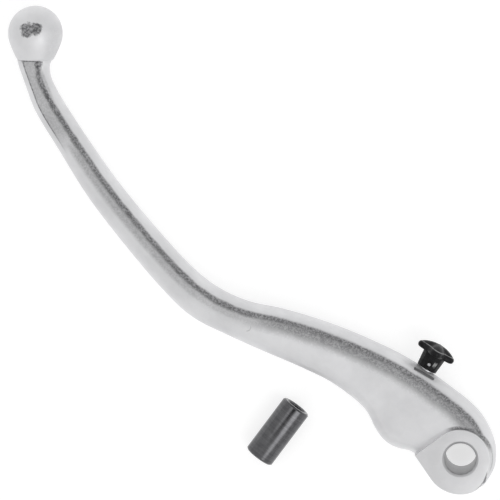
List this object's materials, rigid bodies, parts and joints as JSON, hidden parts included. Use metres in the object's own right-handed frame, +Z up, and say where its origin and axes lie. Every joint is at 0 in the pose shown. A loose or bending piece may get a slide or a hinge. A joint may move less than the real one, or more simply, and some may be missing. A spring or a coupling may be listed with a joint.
{
  "type": "clutch lever",
  "caption": "Curved aluminium clutch lever with a ball end, a round pivot boss, a star-headed reach adjuster and a loose tubular pivot bush.",
  "frame": {"origin": "where the pivot axis meets the surface that the lever lies on, at the boss's lower face", "axes": "+Z up, along the pivot axis; the blade reaches towards -X and +Y; the hand's side faces +X and +Y, and the handlebar's side -X and -Y"},
  "size_m": [0.1588, 0.1588, 0.0205],
  "materials": {
    "lever_aluminium": "satin polished casting",
    "dark_steel": "dark phosphated, turned",
    "bright_steel": "zinc plated",
    "black_plastic": "moulded, semi-gloss",
    "black_rubber": "matt"
  },
  "bodies": {
    "bush": {"pivot_bush": "dark_steel"},
    "lever": {"lever_body": "lever_aluminium", "retaining_plate": "dark_steel", "shank_o_ring": "black_rubber", "cup_key_pin": "bright_steel", "detent_plug": "dark_steel", "detent_spring": "bright_steel"},
    "knob": {"adjuster_knob": "black_plastic", "adjuster_screw": "bright_steel", "knob_pin": "bright_steel"},
    "cup": {"push_rod_cup": "bright_steel"},
    "click_ball": {"detent_ball": "bright_steel"}
  },
  "joints": [
    {"name": "lever_swing", "type": "hinge", "parent": "bush", "child": "lever", "pos_m": [0, 0, 0.01025], "axis": [0, 0, -1], "range_deg": [0, 20]},
    {"name": "knob_turn", "type": "hinge", "parent": "lever", "child": "knob", "pos_m": [-0.0112, 0.02845, 0.01025], "axis": [0.5101, 0.8601, 0], "range_deg": [-540, 540]},
    {"name": "cup_advance", "type": "slide", "parent": "lever", "child": "cup", "axis": [-0.5101, -0.8601, 0], "range_m": [-0.00125, 0.00125]},
    {"name": "click_lift", "type": "slide", "parent": "lever", "child": "click_ball", "axis": [0, 0, 1], "range_m": [-0.0003, 0], "stiffness_N_per_m": 300, "deforming": ["detent_spring"]}
  ],
  "couplings": [
    {"joint": "cup_advance", "follows": "knob_turn", "m_per_rad": 0.00012732}
  ]
}
